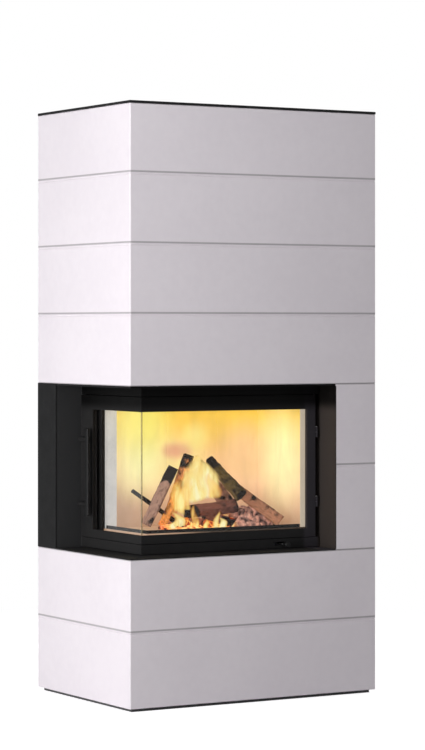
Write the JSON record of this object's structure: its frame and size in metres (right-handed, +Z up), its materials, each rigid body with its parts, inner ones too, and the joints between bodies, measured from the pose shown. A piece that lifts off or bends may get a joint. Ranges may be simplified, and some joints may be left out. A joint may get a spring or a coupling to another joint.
{
  "type": "tiled stove",
  "caption": "Tall corner wood stove: cast off-white rings and top plate round a black insert with an L-shaped two-sided glass door, grate, ash pan, air slide and rear flue spigot.",
  "frame": {"origin": "on the floor, under the middle of the casing", "axes": "+Z up, front (long glass) towards -Y, glazed side towards -X, right column and hinges towards +X"},
  "size_m": [0.89, 0.606, 1.84],
  "materials": {
    "cast_stone": "fine matt off-white coating on cast heat-storing stone, eased arrises",
    "black_steel": "matt black heat-resistant paint on steel sheet",
    "handle_steel": "satin black coated steel",
    "bright_steel": "plain turned steel, slightly heat-tinted",
    "firebox_steel": "scaled and sooted firebox steel",
    "zinc_sheet": "zinc-coated sheet with faint spangle",
    "flue_steel": "matt dark flue-pipe paint",
    "cast_iron": "raw cast iron, ash-dusted",
    "ceramic_glass": "clear heat-resistant ceramic glass",
    "seal_rope": "braided black glass-fibre rope and tape",
    "lining_board": "pressed vermiculite board with fine flake",
    "lining_edge": "pale grey pressed lining board, ash-dusted",
    "glass_edge": "smoked, heat-tinted corner edging of the panes",
    "fireclay": "pressed fireclay, ash-dusted",
    "firewood": "split logs, bark outside, charred and burning at the foot"
  },
  "bodies": {
    "casing": {"plinth_frame": "black_steel", "lower_ring_1": "cast_stone", "lower_ring_2": "cast_stone", "side_block_1": "cast_stone", "side_block_2": "cast_stone", "upper_ring_1": "cast_stone", "upper_ring_2": "cast_stone", "upper_ring_3": "cast_stone", "upper_ring_4": "cast_stone", "top_plate": "black_steel", "lintel_beam": "black_steel", "sill_plate": "black_steel", "reveal_plate": "black_steel", "rear_left_cover": "black_steel", "insert_stand": "zinc_sheet", "stand_feet": "zinc_sheet", "firebox_shell": "firebox_steel", "front_frame": "black_steel", "hinge_brackets": "black_steel", "hinge_pins": "bright_steel", "latch_keepers": "bright_steel", "hearth_slabs": "fireclay", "back_lining": "lining_board", "right_lining": "lining_board", "left_lining_strip": "lining_edge", "baffle_lower": "lining_board", "baffle_upper": "firebox_steel", "log_guard": "firebox_steel", "ash_well": "zinc_sheet", "air_box": "zinc_sheet", "fresh_air_spigot": "zinc_sheet", "flue_collar": "cast_iron", "flue_pipe": "flue_steel", "flue_elbow": "flue_steel", "flue_spigot": "flue_steel", "storage_ring_1": "fireclay", "storage_ring_2": "fireclay", "storage_ring_3": "fireclay"},
    "door": {"door_frame": "black_steel", "front_glass": "ceramic_glass", "side_glass": "ceramic_glass", "glass_tape": "seal_rope", "glass_corner_trim": "glass_edge", "glass_retainers": "black_steel", "retainer_screws": "bright_steel", "door_gasket": "seal_rope", "hinge_lugs": "black_steel", "latch_bearings": "black_steel"},
    "latch": {"latch_rod": "bright_steel", "handle_arms": "black_steel", "door_handle": "handle_steel"},
    "air_control": {"air_slide_valve": "bright_steel", "air_knob": "handle_steel"},
    "wood_load": {"firewood": "firewood", "kindling": "firewood"},
    "grate": {"grate": "cast_iron"},
    "ash_pan": {"ash_pan": "zinc_sheet"}
  },
  "joints": [
    {"name": "door_hinge", "type": "hinge", "parent": "casing", "child": "door", "pos_m": [0.281, -0.21, 0.7], "axis": [0, 0, 1], "range_deg": [0, 90]},
    {"name": "latch_turn", "type": "hinge", "parent": "door", "child": "latch", "pos_m": [-0.346, 0.16, 0.7], "axis": [0, 0, -1], "range_deg": [0, 30]},
    {"name": "air_slide", "type": "slide", "parent": "casing", "child": "air_control", "axis": [-1, 0, 0], "range_m": [0, 0.025]},
    {"name": "wood_load_lift", "type": "slide", "parent": "casing", "child": "wood_load", "axis": [0, 0, 1], "range_m": [0, 0.12]},
    {"name": "grate_lift", "type": "slide", "parent": "casing", "child": "grate", "axis": [0, 0, 1], "range_m": [0, 0.06]},
    {"name": "ash_pan_lift", "type": "slide", "parent": "casing", "child": "ash_pan", "axis": [0, 0, 1], "range_m": [0, 0.03]}
  ],
  "couplings": [
    {"joint": "grate_lift", "follows": "wood_load_lift", "ratio": 0.5},
    {"joint": "ash_pan_lift", "follows": "wood_load_lift", "ratio": 0.25}
  ]
}
